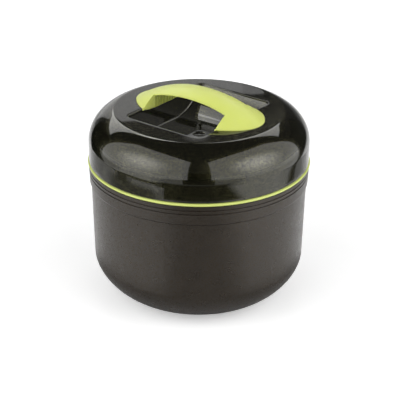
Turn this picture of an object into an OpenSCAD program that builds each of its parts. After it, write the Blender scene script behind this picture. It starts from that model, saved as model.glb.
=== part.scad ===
// Insulated lunch box: a round double-walled pot with a twist-lock lid, a finger trough and an arched handle.
// Millimetres, +Z up, origin at the centre of the base. The handle runs along X.

/* [Pot] */
// Radius of the pot just under the collar
pot_top_r = 92.8; // [86:0.1:105]
// How much narrower the pot is where its wall meets the bottom round
pot_draft = 1.4; // [0:0.1:4]
// Height of the pot from the floor to the collar
pot_h = 102.5; // [85:0.5:130]
// Height of the bottom round
pot_round_h = 35; // [25:0.5:45]
// Width of the bottom round
pot_round_w = 37.7; // [30:0.1:45]
// Roundness of the bottom round, 2 is an ellipse
pot_round_power = 1.65; // [1.5:0.05:2.4]
// Width of the foot ring
foot_w = 7; // [4:0.5:10]
// Height of the foot ring
foot_h = 1.6; // [1.2:0.1:2.5]
// Wall of the pot
pot_wall = 2.4; // [1.8:0.1:3]

/* [Collar] */
// Height of the collar
collar_h = 17; // [15:0.5:24]
// How far the collar stands out over the pot at its lower edge
collar_step = 1.2; // [0.6:0.1:2]
// How much wider the collar is at its upper edge than at its lower edge
collar_flare = 0.6; // [0:0.1:2]
// Height of the rounded lower edge of the collar
collar_edge_h = 1.6; // [0.8:0.1:2.4]
// Distance of the fine grooves from each other
groove_pitch = 3.4; // [3:0.1:5]
// Depth of a fine groove
groove_d = 0.6; // [0.3:0.1:0.8]
// Width of a fine groove
groove_w = 1.2; // [0.4:0.1:1.6]
// Height of the tongue of the pot inside the collar
tongue_h = 5; // [3:0.5:6]
// Width of the rim, from the outside of the pot to the spigot of the lid
rim_w = 8.8; // [8:0.1:11]

/* [Food liner] */
// Width of the ledge that the liner leaves inside the mouth of the collar
liner_ledge = 5.6; // [3:0.1:12]
// How much narrower the liner is at its bottom round
liner_draft = 2.5; // [0:0.5:6]
// Bottom round of the liner
liner_round = 24; // [12:1:30]
// Thickness of the liner
liner_t = 0.8; // [0.6:0.1:1.6]
// Thickness of the insulation under the liner
floor_foam = 8; // [5:0.5:16]
// Distance from the flange of the liner to the tongue of the pot
flange_inset = 2.4; // [1:0.1:3]
// Thickness of the flat gasket on the flange
gasket_t = 0.8; // [0.5:0.1:1.5]

/* [Filling plug] */
// Radius of the foam filling hole in the base
fill_r = 9; // [6:0.5:14]
// How far the head of the plug laps over the hole
plug_lap = 4; // [2:0.5:6]
// Thickness of the head of the plug
plug_head_t = 1; // [0.6:0.1:1.1]
// Length of the stem of the plug above the base wall
plug_stem = 1.5; // [0.5:0.1:3]

/* [Seal ring] */
// How far the seal ring stands out over the lid
ring_proud = 0.9; // [0.4:0.1:1.6]
// Visible height of the seal ring
ring_h = 2.4; // [1.6:0.1:4]
// Width of the seal ring on the rim
ring_w = 6.6; // [5:0.1:7]

/* [Lid] */
// How far the skirt of the lid stands back from the upper edge of the collar
lid_inset = 0.3; // [0:0.1:1]
// Height of the lid above the seal ring
lid_h = 43; // [38:0.5:55]
// Height of the upright skirt of the lid
skirt_h = 16.4; // [12:0.2:19]
// Half width of the ellipse that rounds the shoulder
shoulder_w = 29.8; // [24:0.2:34]
// How much of that ellipse the flat top cuts off
shoulder_cut = 1.1; // [0:0.1:3]
// Wall of the lid
lid_wall = 2.4; // [1.8:0.1:3]

/* [Trough] */
// Width of the finger trough along the handle
trough_w = 76.2; // [70:0.2:80]
// Length of the finger trough across the handle
trough_l = 101.6; // [90:0.2:106]
// Depth of the finger trough
trough_d = 22.7; // [18:0.1:26]
// Length of the flat floor between the two bends of the trough
trough_flat = 34; // [24:0.5:42]
// Corner radius of the trough opening
trough_corner = 5.5; // [3:0.5:12]
// Radius of the dimple in the trough floor
dimple_r = 6; // [4:0.5:8]
// Depth of the dimple
dimple_d = 0.6; // [0.3:0.1:1]

/* [Handle] */
// Length of a handle pad from the trough to its tip
pad_l = 23.9; // [20:0.1:28]
// Full width of the ellipse that bounds the pads
pad_ellipse_w = 73.6; // [66:0.2:80]
// Height of the handle arch above the lid
handle_rise = 18.7; // [16:0.1:24]
// Width of the grip bar
bar_w = 29.2; // [24:0.2:34]
// Crown radius across the grip in its middle
crown_mid = 24; // [22:0.5:40]
// Crown radius across the grip at the pads
crown_pad = 34; // [32:0.5:50]
// Height of the side edge of the grip bar
bar_edge = 1; // [0.6:0.1:2]
// Depth of the pads in the lid
pad_depth = 3.5; // [2.5:0.1:4.5]
// Height of the pad edge above the lid
pad_lip = 0.4; // [0.2:0.1:1]
// How far the pads stand into the trough
pad_overhang = 0.6; // [0.3:0.1:1.5]

/* [Handle screws] */
// Shank radius of a handle screw
screw_r = 2; // [1.5:0.1:2.5]
// Head radius of a handle screw
screw_head_r = 3.8; // [3:0.1:4.5]
// Head height of a handle screw
screw_head_h = 2.2; // [1.6:0.1:3]
// Length of the screw in the pad
screw_grip = 6.5; // [5:0.1:7]
// Space above the tip of a screw
screw_room = 0.8; // [0.4:0.1:1]
// Distance of the screws from the edge of the trough
screw_in = 8.9; // [7:0.1:11]
// Distance of the two screws of a pad from each other
screw_pitch = 22; // [18:0.5:26]

/* [Bayonet] */
// Number of bayonet lugs
lug_count = 4; // [3:1:5]
// Angle that one lug covers
lug_deg = 22; // [16:1:26]
// Angle that the lid turns to lock
twist_deg = 28; // [20:1:32]
// Play of a lug in its slot, as an angle on each side
play_deg = 2; // [1:0.5:3]
// Depth of the spigot below the rim
spigot_h = 10.5; // [9.5:0.1:11]
// How far a lug stands out
lug_out = 3; // [2:0.1:3.6]
// Height of a lug
lug_h = 3; // [2:0.1:3.4]
// Height of a lug above the foot of the spigot
lug_up = 1; // [0.7:0.1:1.4]
// Height of the collar under the lug tracks
track_floor = 3.5; // [2:0.1:4]
// Wall of the lid liner
lid_liner_t = 2; // [1.4:0.1:2.6]

/* [Fits] */
// Gap between pieces that move on each other
run_gap = 0.3; // [0.2:0.05:0.4]
// Gap around the spigot and the lugs
lug_gap = 0.6; // [0.4:0.1:0.7]
// Gap between glued and pressed pieces
glue_gap = 0.1; // [0.05:0.01:0.2]
// Gap around the foam, the pads and the screw shanks
foam_gap = 0.2; // [0.1:0.05:0.4]

/* [Hidden] */
$fn = 96;
// Small overlap that makes a cut run clear of a face
cut = 1;
// Steps of a formula curve
curve_steps = 18;

// Radii from the pot inwards and outwards
pot_low_r = pot_top_r - pot_draft;
base_r = pot_low_r - pot_round_w;
tongue_in_r = pot_top_r - pot_wall;
tongue_out_r = tongue_in_r + pot_wall / 2;
collar_low_r = pot_top_r + collar_step;
collar_top_r = collar_low_r + collar_flare;
lid_r = collar_top_r - lid_inset;
ring_r = lid_r + ring_proud;
shell_in_r = lid_r - lid_wall;
spigot_r = pot_top_r - rim_w;
mouth_r = spigot_r + lug_gap;
lug_r = spigot_r + lug_out;
lug_track_r = lug_r + lug_gap;
liner_r = mouth_r - liner_ledge;
flange_r = tongue_in_r - flange_inset;

// Levels from the floor up
base_in_z = foot_h + pot_wall;
rim_z = pot_h + collar_h;
ring_z = rim_z + run_gap;
lid_z = ring_z + ring_h + run_gap;
lid_top = lid_z + lid_h;
spigot_z = rim_z - spigot_h;
lug_z = spigot_z + lug_up;
track_z = lug_z - lug_gap;
ledge_z = lug_z + lug_h + lug_gap;
collar_low_z = track_z - track_floor;
flange_top_z = collar_low_z - gasket_t - 2 * glue_gap;
liner_floor_z = base_in_z + floor_foam + 2 * foam_gap + liner_t;
pad_z = lid_top - pad_depth;
trough_z = lid_top - trough_d;
screw_head_z = pad_z - lid_wall - screw_head_h;

// Angles of the bayonet
step_deg = 360 / lug_count;
slot_deg = lug_deg + 2 * play_deg;

// Handle and pads
handle_half = trough_w / 2 + pad_l;
pad_half_w = pad_ellipse_w / 2;
pad_in_u = trough_w / 2 - pad_overhang;
pad_start_deg = acos(pad_in_u / handle_half);
pad_half_v = pad_half_w * sin(pad_start_deg);
bar_half = bar_w / 2;
screw_u = trough_w / 2 + screw_in;
screw_places = [for (su = [-1, 1], sv = [-1, 1]) [su * screw_u, sv * screw_pitch / 2]];

// Facets of the handle: along the grip, across it, across a pad's flank, along a pad, and its blunt tip
arch_steps = 20;
bar_steps = 10;
flank_steps = 5;
pad_rings = 9;
tip_deg = 4;
// Length of the bar's ends inside the pads, and how much of the bar's section they keep
tenon_l = 1;
tenon_share = 0.7;

// Colours as the photo shows them
pot_colour = [0.24, 0.22, 0.19];
lid_colour = [0.1, 0.1, 0.09];
lime = [0.8, 0.86, 0.32];
steel = [0.72, 0.72, 0.72];
foam = [0.93, 0.9, 0.8];
soft_grey = [0.6, 0.6, 0.58];

// Power of a number that keeps its sign
function signed_pow(x, p) = sign(x) * pow(abs(x), p);

// Stretch of a superellipse around c with half axes a and b, from angle a0 to a1
function round_line(c, a, b, power, a0, a1) = [
    for (i = [0 : curve_steps])
        let (t = a0 + (a1 - a0) * i / curve_steps)
        [c[0] + a * signed_pow(cos(t), 2 / power), c[1] + b * signed_pow(sin(t), 2 / power)]
];

// Line of the pot, drawn in by a wall, from its floor to its top
function pot_line(wall, floor_z, top_z) = concat(
    round_line([base_r, pot_round_h], pot_round_w - wall, pot_round_h - floor_z, pot_round_power, -90, 0),
    [[pot_top_r - wall, pot_h], [pot_top_r - wall, max(pot_h, top_z)]]
);

// Line of the liner, grown by a wall, from its floor to a given height
function liner_line(wall, top_z) = concat(
    round_line([liner_r - liner_draft - liner_round, liner_floor_z + liner_round],
        liner_round + wall, liner_round + wall, 2, -90, 0),
    [[liner_r + wall, top_z]]
);

// Line of the lid, drawn in by a wall, from the seam to its top
function lid_line(wall) =
    let (
        rise = lid_h - skirt_h,
        half_h = rise + shoulder_cut - wall,
        rim_deg = asin((rise - wall) / half_h)
    )
    concat(
        [[lid_r - wall, lid_z]],
        round_line([lid_r - shoulder_w, lid_z + skirt_h], shoulder_w - wall, half_h, 2, 0, rim_deg)
    );

// Section of the trough across the handle, grown by a wall and open at the top
function trough_section(wall) =
    let (
        run = (trough_l - trough_flat) / 2,
        bend_r = (run * run + trough_d * trough_d) / (2 * trough_d),
        grown_r = bend_r + wall,
        end_deg = asin((trough_d - bend_r) / grown_r),
        bend = round_line([trough_flat / 2, bend_r - trough_d], grown_r, grown_r, 2, -90, end_deg),
        brink = bend[curve_steps][0]
    )
    concat(
        [for (i = [curve_steps : -1 : 0]) [-bend[i][0], bend[i][1]]],
        bend,
        [[brink, cut], [-brink, cut]]
    );

// Plan of the ellipse that bounds both pads, grown by a gap
function pad_outline(gap) = [
    for (i = [0 : 4 * curve_steps - 1])
        let (t = 90 * i / curve_steps)
        [(handle_half + gap) * cos(t), (pad_half_w + gap) * sin(t)]
];

// Height of the handle: its crest, its crown across the grip, the top of a pad and the underside of the bar
function crest_z(u) = lid_top + handle_rise * (1 - pow(u / handle_half, 2));
function crown_r(u) = crown_mid + (crown_pad - crown_mid) * pow(u / pad_in_u, 2);
function grip_z(u, v) = crest_z(u) - v * v / (2 * crown_r(u));
function pad_top_z(u, v) = max(grip_z(u, v), lid_top + pad_lip);
function bar_low_z(u) = grip_z(u, bar_half) - bar_edge;

// Places across the grip bar, and across a pad with the bar's places in its middle
bar_places = [for (i = [0 : bar_steps]) bar_half * (2 * i / bar_steps - 1)];
flank_places = [for (i = [1 : flank_steps]) bar_half + (pad_half_v - bar_half) * i / flank_steps];
pad_places = concat([for (i = [flank_steps - 1 : -1 : 0]) -flank_places[i]], bar_places, flank_places);

// A closed ring of points across the bar: the top from one side to the other and the underside back
function bar_ring(u) = concat(
    [for (v = bar_places) [u, v, grip_z(u, v)]],
    [for (i = [bar_steps : -1 : 0]) [u, bar_places[i], bar_low_z(u)]]
);

// The end of the bar on one side, drawn in so that it lies inside the pad
function tenon_ring(side) =
    let (mid_z = (grip_z(pad_in_u, 0) + bar_low_z(pad_in_u)) / 2)
    [
        for (p = bar_ring(side * pad_in_u))
            [p[0] + side * tenon_l, p[1] * tenon_share, mid_z + (p[2] - mid_z) * tenon_share]
    ];

// A ring across a pad, at an angle of its ellipse
function pad_ring(a) =
    let (u = handle_half * cos(a), k = sin(a) / sin(pad_start_deg), last = len(pad_places) - 1)
    concat(
        [for (v = pad_places) [u, v * k, pad_top_z(u, v * k)]],
        [for (i = [last : -1 : 0]) [u, pad_places[i] * k, pad_z]]
    );

// Solid through a list of rings, all with the same number of points
module loft(rings) {
    n = len(rings[0]);
    last = len(rings) - 1;
    points = [for (ring = rings) for (p = ring) p];
    sides = [
        for (j = [0 : last - 1], i = [0 : n - 1])
            let (a = j * n + i, b = j * n + (i + 1) % n)
            each [[a, b, a + n], [b, b + n, a + n]]
    ];
    start = [for (i = [0 : n / 2 - 2]) each [[i, n - 1 - i, i + 1], [i + 1, n - 1 - i, n - 2 - i]]];
    finish = [for (f = start) [for (i = [2 : -1 : 0]) f[i] + last * n]];
    polyhedron(points, concat(start, sides, finish), convexity = 4);
}

// A turned ring with a square section
module turned_ring(r0, r1, z0, z1) {
    rotate_extrude() translate([r0, z0]) square([r1 - r0, z1 - z0]);
}

// A wedge around the axis, clear of the rim on its outside
module wedge(from_deg, span_deg, z0, z1) {
    reach = 2 * ring_r;
    mid_deg = from_deg + span_deg / 2;
    translate([0, 0, z0]) linear_extrude(z1 - z0) polygon([
        [0, 0],
        [for (f = [cos(from_deg), sin(from_deg)]) reach * f],
        [for (f = [cos(mid_deg), sin(mid_deg)]) reach * f],
        [for (f = [cos(from_deg + span_deg), sin(from_deg + span_deg)]) reach * f]
    ]);
}

// Plan of the trough, rounded at its four corners
module trough_plan(wall) {
    r = trough_corner + wall;
    x = trough_w / 2 - trough_corner;
    y = trough_l / 2 - trough_corner;
    square([2 * (x + r), 2 * y], center = true);
    square([2 * x, 2 * (y + r)], center = true);
    for (sx = [-1, 1], sy = [-1, 1]) translate([sx * x, sy * y]) circle(r);
}

// The space of the trough, grown by a wall
module trough_space(wall) {
    depth = trough_d + wall + cut;
    intersection() {
        translate([0, 0, lid_top + cut - depth]) linear_extrude(depth) trough_plan(wall);
        translate([-trough_w / 2 - wall, 0, lid_top]) rotate([90, 0, 90])
            linear_extrude(trough_w + 2 * wall) polygon(trough_section(wall));
    }
}

// The space of the pads, grown by a gap and sunk below them by a floor
module pad_space(gap, floor_t) {
    x0 = pad_in_u - pad_overhang;
    height = pad_depth + floor_t + cut;
    intersection() {
        translate([0, 0, pad_z - floor_t]) linear_extrude(height) polygon(pad_outline(gap));
        for (s = [0, 1]) mirror([s, 0, 0]) translate([x0, -pad_ellipse_w, pad_z - floor_t - cut])
            cube([pad_ellipse_w, 2 * pad_ellipse_w, height + 2 * cut]);
    }
}

module body_shell() {
    shell_top = pot_h + tongue_h;
    color(pot_colour) rotate_extrude() difference() {
        union() {
            polygon(concat([[0, 0]], pot_line(0, 0, pot_h), [[0, pot_h]]));
            translate([0, pot_h - cut]) square([tongue_out_r, tongue_h + cut]);
        }
        polygon(concat(
            [[0, base_in_z]],
            pot_line(pot_wall, base_in_z, shell_top + cut),
            [[0, shell_top + cut]]
        ));
        translate([0, -cut]) square([base_r - foot_w, foot_h + cut]);
        translate([0, -cut]) square([fill_r, base_in_z + 2 * cut]);
    }
}

module rim_collar() {
    skin_z = pot_h + glue_gap;
    groove_z = pot_h + tongue_h + glue_gap;
    line = concat(
        [[lug_track_r, track_z], [mouth_r, track_z], [mouth_r, collar_low_z],
         [tongue_in_r - glue_gap, collar_low_z], [tongue_in_r - glue_gap, groove_z],
         [tongue_out_r + glue_gap, groove_z], [tongue_out_r + glue_gap, skin_z], [pot_top_r, skin_z]],
        round_line([pot_top_r, skin_z + collar_edge_h], collar_step, collar_edge_h, 2, -80, 0),
        [[collar_top_r, rim_z], [lug_track_r, rim_z]]);
    color(pot_colour) union() {
        rotate_extrude() difference() {
            polygon(line);
            for (i = [1, 2])
                translate([collar_top_r - collar_flare * i * groove_pitch / collar_h - groove_d,
                    rim_z - i * groove_pitch - groove_w / 2])
                    square([groove_d + cut, groove_w]);
        }
        difference() {
            turned_ring(mouth_r, lug_track_r + cut, ledge_z, rim_z);
            for (i = [0 : lug_count - 1])
                wedge(i * step_deg - slot_deg / 2, slot_deg, ledge_z - cut, rim_z + cut);
        }
        difference() {
            turned_ring(mouth_r, lug_track_r + cut, track_z - cut, ledge_z + cut);
            for (i = [0 : lug_count - 1])
                wedge(i * step_deg - slot_deg / 2 - twist_deg, slot_deg + twist_deg,
                    track_z - 2 * cut, rim_z);
        }
    }
}

module food_liner() {
    color(steel) rotate_extrude() difference() {
        union() {
            polygon(concat(
                [[0, liner_floor_z - liner_t]],
                liner_line(liner_t, flange_top_z),
                [[0, flange_top_z]]
            ));
            translate([liner_r, flange_top_z - liner_t]) square([flange_r - liner_r, liner_t]);
        }
        polygon(concat([[0, liner_floor_z]], liner_line(0, flange_top_z + cut), [[0, flange_top_z + cut]]));
    }
}

module liner_gasket() {
    low_z = flange_top_z + glue_gap;
    color(soft_grey) turned_ring(mouth_r, flange_r, low_z, low_z + gasket_t);
}

module body_insulation() {
    low_z = base_in_z + foam_gap;
    top_z = flange_top_z - liner_t - foam_gap;
    color(foam) rotate_extrude() difference() {
        intersection() {
            polygon(concat(
                [[0, low_z]],
                pot_line(pot_wall + foam_gap, low_z, top_z + cut),
                [[0, top_z + cut]]
            ));
            square([pot_top_r, top_z]);
        }
        polygon(concat(
            [[0, liner_floor_z - liner_t - foam_gap]],
            liner_line(liner_t + foam_gap, top_z + cut),
            [[0, top_z + cut]]
        ));
        square([fill_r + foam_gap, base_in_z + plug_stem + foam_gap]);
    }
}

module fill_plug() {
    head_top_z = foot_h - glue_gap;
    color(pot_colour) union() {
        turned_ring(0, fill_r + plug_lap, head_top_z - plug_head_t, head_top_z);
        turned_ring(0, fill_r - glue_gap, head_top_z - plug_head_t / 2, base_in_z + plug_stem);
    }
}

module seal_ring() {
    bead = ring_h / 2;
    color(lime) rotate_extrude() union() {
        translate([ring_r - ring_w, ring_z]) square([ring_w - bead, ring_h]);
        translate([ring_r - bead, ring_z + bead]) circle(bead);
    }
}

module lid_shell() {
    inner = concat(
        [[0, lid_z - cut], [shell_in_r, lid_z - cut]],
        lid_line(lid_wall),
        [[0, lid_top - lid_wall]]
    );
    color(lid_colour) difference() {
        union() {
            rotate_extrude() difference() {
                polygon(concat([[0, lid_z]], lid_line(0), [[0, lid_top]]));
                polygon(inner);
            }
            intersection() {
                rotate_extrude()
                    polygon(concat([[0, lid_z]], lid_line(lid_wall / 2), [[0, lid_top - lid_wall / 2]]));
                union() {
                    trough_space(lid_wall);
                    pad_space(lid_wall, lid_wall);
                }
            }
        }
        trough_space(0);
        pad_space(foam_gap, 0);
        for (p = screw_places) translate([p[0], p[1], pad_z - lid_wall - cut])
            cylinder(r = screw_r + foam_gap, h = lid_wall + 2 * cut);
        translate([0, 0, trough_z - dimple_d]) cylinder(r = dimple_r, h = dimple_d + cut);
    }
}

module lid_insulation() {
    wall = lid_wall + foam_gap;
    low_z = spigot_z + lid_liner_t + foam_gap;
    flange_z = lid_z + lid_liner_t + foam_gap;
    color(foam) difference() {
        rotate_extrude() union() {
            intersection() {
                polygon(concat([[0, lid_z]], lid_line(wall), [[0, lid_top - wall]]));
                translate([0, flange_z]) square([lid_r, lid_h]);
            }
            translate([0, low_z]) square([spigot_r - lid_liner_t - foam_gap, flange_z + cut - low_z]);
        }
        trough_space(wall);
        pad_space(wall, wall);
        for (p = screw_places) translate([p[0], p[1], screw_head_z - foam_gap])
            cylinder(r = screw_head_r + foam_gap, h = lid_h);
    }
}

module lid_liner() {
    in_r = spigot_r - lid_liner_t;
    color(soft_grey) union() {
        rotate_extrude() union() {
            translate([0, spigot_z]) square([spigot_r, lid_liner_t]);
            translate([in_r, spigot_z]) square([lid_liner_t, lid_z + lid_liner_t - spigot_z]);
            translate([in_r, lid_z]) square([shell_in_r - glue_gap - in_r, lid_liner_t]);
        }
        intersection() {
            turned_ring(spigot_r - lid_liner_t / 2, lug_r, lug_z, lug_z + lug_h);
            union() for (i = [0 : lug_count - 1])
                wedge(i * step_deg - lug_deg / 2, lug_deg, lug_z - cut, lug_z + lug_h + cut);
        }
    }
}

module handle() {
    arch = [for (i = [0 : arch_steps]) bar_ring(pad_in_u * (2 * i / arch_steps - 1))];
    pad = [for (i = [0 : pad_rings]) pad_ring(pad_start_deg + (tip_deg - pad_start_deg) * i / pad_rings)];
    color(lime) difference() {
        union() {
            loft(concat([tenon_ring(-1)], arch, [tenon_ring(1)]));
            loft(pad);
            rotate([0, 0, 180]) loft(pad);
        }
        for (p = screw_places) translate([p[0], p[1], pad_z - cut])
            cylinder(r = screw_r, h = cut + screw_grip + screw_room);
    }
}

module handle_screws() {
    color(steel) for (p = screw_places) translate([p[0], p[1], screw_head_z]) union() {
        cylinder(r = screw_head_r, h = screw_head_h);
        cylinder(r = screw_r, h = screw_head_h + lid_wall + screw_grip);
    }
}

body_shell();
rim_collar();
food_liner();
liner_gasket();
body_insulation();
fill_plug();
seal_ring();
lid_shell();
lid_insulation();
lid_liner();
handle();
handle_screws();
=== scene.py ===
"""Looks of a round insulated lunch box: its fine shapes and finishes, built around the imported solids.

Everything is in metres in the part's own frame: +Z up, origin at the centre of the base, handle along X.
"""

import logging
import math
from collections.abc import Sequence
from dataclasses import dataclass, field, replace
from enum import Enum
from functools import lru_cache

import bmesh
import bpy
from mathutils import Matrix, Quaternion, Vector


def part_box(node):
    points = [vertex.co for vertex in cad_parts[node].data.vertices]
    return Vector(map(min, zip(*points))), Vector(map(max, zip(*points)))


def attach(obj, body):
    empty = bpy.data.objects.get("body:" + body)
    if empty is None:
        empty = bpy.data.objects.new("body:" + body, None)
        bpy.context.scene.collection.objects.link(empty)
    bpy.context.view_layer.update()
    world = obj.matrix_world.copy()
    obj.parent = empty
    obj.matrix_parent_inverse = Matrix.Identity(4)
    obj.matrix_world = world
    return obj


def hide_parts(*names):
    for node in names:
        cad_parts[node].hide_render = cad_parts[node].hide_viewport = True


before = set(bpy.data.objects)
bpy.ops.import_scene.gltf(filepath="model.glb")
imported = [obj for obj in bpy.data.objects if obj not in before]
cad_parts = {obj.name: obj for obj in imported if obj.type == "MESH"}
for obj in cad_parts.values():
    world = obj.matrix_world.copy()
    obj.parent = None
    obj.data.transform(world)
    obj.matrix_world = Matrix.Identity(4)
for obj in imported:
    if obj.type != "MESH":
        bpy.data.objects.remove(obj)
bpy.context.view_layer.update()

Spot = tuple[float, float]
Point = tuple[float, float, float]
Colour = tuple[float, float, float]

LOG = logging.getLogger("lunch_box")
WELD = 1e-7
CREASE_DEG = 32
SIDES = 288
NOISE_ENDS: Spot = (0.3, 0.7)


class Body(Enum):
    """Moving bodies of the box."""

    POT = "pot"
    SEAL = "seal"
    LID = "lid"


class Grain(Enum):
    """Ways in which a finish runs over its piece."""

    PLAIN = "plain"
    TURNED = "turned"
    FOAMED = "foamed"


def signed_power(value: float, power: float) -> float:
    """Power of a number that keeps its sign."""
    return math.copysign(abs(value) ** power, value)


def ease(value: float) -> float:
    """Smooth step from 0 to 1 as the value goes from 0 to 1."""
    share = min(max(value, 0.0), 1.0)
    return share * share * (3 - 2 * share)


def around(middle: float, spread: float) -> Spot:
    """Ends of a range around its middle."""
    return middle - spread, middle + spread


def round_line(centre: Spot, half: Spot, power: float, turn: Spot, steps: int) -> list[Spot]:
    """Stretch of a superellipse.

    Args:
        centre: Centre of the superellipse.
        half: Its half axes.
        power: Its power, where 2 is an ellipse.
        turn: First and last angle, in degrees.
        steps: Number of steps between them.

    Returns:
        The points of the stretch, both ends included.
    """
    line = []
    for step in range(steps + 1):
        angle = math.radians(turn[0] + (turn[1] - turn[0]) * step / steps)
        line.append((centre[0] + half[0] * signed_power(math.cos(angle), 2 / power),
                     centre[1] + half[1] * signed_power(math.sin(angle), 2 / power)))
    return line


def bend_line(corner: Vector, back: Vector, ahead: Vector, steps: int = 4) -> list[Spot]:
    """Curve that eases a corner.

    Args:
        corner: The corner.
        back: Way from the corner to the curve's start.
        ahead: Way from the corner to the curve's end.
        steps: Number of steps in the curve.

    Returns:
        The points of the curve, both ends included.
    """
    shares = [step / steps for step in range(steps + 1)]
    spots = [corner + back * (1 - share) ** 2 + ahead * share ** 2 for share in shares]
    return [(spot.x, spot.y) for spot in spots]


def eased_line(corners: Sequence[Point]) -> list[Spot]:
    """Closed outline whose corners are eased.

    Args:
        corners: Radius, height and reach of the easing of each corner.

    Returns:
        The points of the outline.
    """
    line: list[Spot] = []
    for index, (r, z, reach) in enumerate(corners):
        corner = Vector((r, z))
        if reach == 0:
            line.append((r, z))
            continue
        back = (Vector(corners[index - 1][:2]) - corner).normalized() * reach
        ahead = (Vector(corners[(index + 1) % len(corners)][:2]) - corner).normalized() * reach
        line += bend_line(corner, back, ahead)
    return line


@dataclass
class Draft:
    """Points and faces of one piece, before it becomes an object."""

    points: list[Point] = field(default_factory=list)
    faces: list[tuple[int, ...]] = field(default_factory=list)

    def loop(self, points: Sequence[Point]) -> list[int]:
        """Add points.

        Args:
            points: The points, in order.

        Returns:
            Their numbers.
        """
        first = len(self.points)
        self.points.extend(points)
        return list(range(first, len(self.points)))

    def face(self, corners: Sequence[int]) -> None:
        """Add a face, without the corners that repeat.

        Args:
            corners: Numbers of its points, in order.
        """
        kept = [c for i, c in enumerate(corners) if c != corners[i - 1]]
        if len(kept) > 2:
            self.faces.append(tuple(kept))

    def strip(self, one: Sequence[int], other: Sequence[int], closed: bool = True) -> None:
        """Fill the space between two loops of the same length.

        Args:
            one: Numbers of the first loop's points.
            other: Numbers of the second loop's points.
            closed: Whether the loops close on themselves.
        """
        count = len(one)
        for i in range(count if closed else count - 1):
            j = (i + 1) % count
            self.face((one[i], one[j], other[j], other[i]))

    def chain(self, loops: Sequence[Sequence[int]], closed: bool = True) -> None:
        """Fill the spaces between loops that follow each other."""
        for one, other in zip(loops, loops[1:]):
            self.strip(one, other, closed)

    def wrap(self, tops: Sequence[Sequence[int]], lows: Sequence[Sequence[int]]) -> None:
        """Fill the top, the underside and both flanks of a run of sections.

        Args:
            tops: Numbers of the points across the top of each section.
            lows: Numbers of the points across its underside.
        """
        for lines in (tops, lows):
            self.chain(lines, closed=False)
        for end in (0, -1):
            self.strip([top[end] for top in tops], [low[end] for low in lows], closed=False)

    def prism(self, plan: Sequence[Spot], low: float, high: float) -> None:
        """Add an upright block.

        Args:
            plan: Points of its plan, in order.
            low: Height of its foot.
            high: Height of its head.
        """
        foot, head = (self.loop([(x, y, z) for x, y in plan]) for z in (low, high))
        self.strip(foot, head)
        self.face(foot)
        self.face(head)

    def turn(self, line: Sequence[Spot], sides: int = SIDES) -> None:
        """Turn a closed outline round the upright axis.

        Args:
            line: Radius and height of each point of the outline.
            sides: Number of steps round the axis.
        """
        loops = [self.loop(circle(r, z, sides)) for r, z in line]
        self.chain(loops + loops[:1])

    def make(self, name: str, crease_deg: float = CREASE_DEG) -> bpy.types.Object:
        """Make the object.

        Args:
            name: Name of the piece.
            crease_deg: Angle above which an edge stays sharp.

        Returns:
            The new object, at the origin.
        """
        mesh = bpy.data.meshes.new(name)
        mesh.from_pydata(self.points, [], self.faces)
        sheet = bmesh.new()
        sheet.from_mesh(mesh)
        bmesh.ops.remove_doubles(sheet, verts=sheet.verts, dist=WELD)
        bmesh.ops.recalc_face_normals(sheet, faces=sheet.faces)
        sheet.to_mesh(mesh)
        sheet.free()
        smooth(mesh, crease_deg)
        return place_new(name, mesh)


def place_new(name: str, data: bpy.types.ID) -> bpy.types.Object:
    """Set a new object in the scene.

    Args:
        name: Its name.
        data: Its mesh, lamp or camera.

    Returns:
        The new object, at the origin.
    """
    made = bpy.data.objects.new(name, data)
    bpy.context.scene.collection.objects.link(made)
    return made


def aim(thing: bpy.types.Object, way: Vector, roll_deg: float) -> None:
    """Turn a lamp or the camera.

    Args:
        thing: The lamp or camera.
        way: Direction that it looks in.
        roll_deg: Roll about that direction.
    """
    roll = Quaternion((0.0, 0.0, 1.0), math.radians(roll_deg))
    thing.rotation_mode = "QUATERNION"
    thing.rotation_quaternion = way.to_track_quat("-Z", "Y") @ roll


def circle(r: float, z: float, sides: int, start: float = 0.0) -> list[Point]:
    """Points of a level circle round the upright axis, from a start angle in radians."""
    angles = [start + math.tau * i / sides for i in range(sides)]
    return [(r * math.cos(a), r * math.sin(a), z) for a in angles]


def smooth(mesh: bpy.types.Mesh, crease_deg: float) -> None:
    """Shade a mesh smooth, apart from its edges above an angle."""
    mesh.polygons.foreach_set("use_smooth", [True] * len(mesh.polygons))
    mesh.set_sharp_from_angle(angle=math.radians(crease_deg))


def freeze(piece: bpy.types.Object, crease_deg: float = CREASE_DEG) -> None:
    """Turn a piece's modifiers into its own mesh.

    Args:
        piece: The piece, whose modifiers are then gone.
        crease_deg: Angle above which an edge stays sharp.
    """
    shown = piece.evaluated_get(bpy.context.evaluated_depsgraph_get())
    mesh = bpy.data.meshes.new_from_object(shown)
    piece.modifiers.clear()
    piece.data = mesh
    smooth(mesh, crease_deg)


def weigh(piece: bpy.types.Object) -> None:
    """Let broad faces rule the shading beside narrow ones."""
    weigher = piece.modifiers.new("broad_faces", "WEIGHTED_NORMAL")
    weigher.keep_sharp = True


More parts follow.
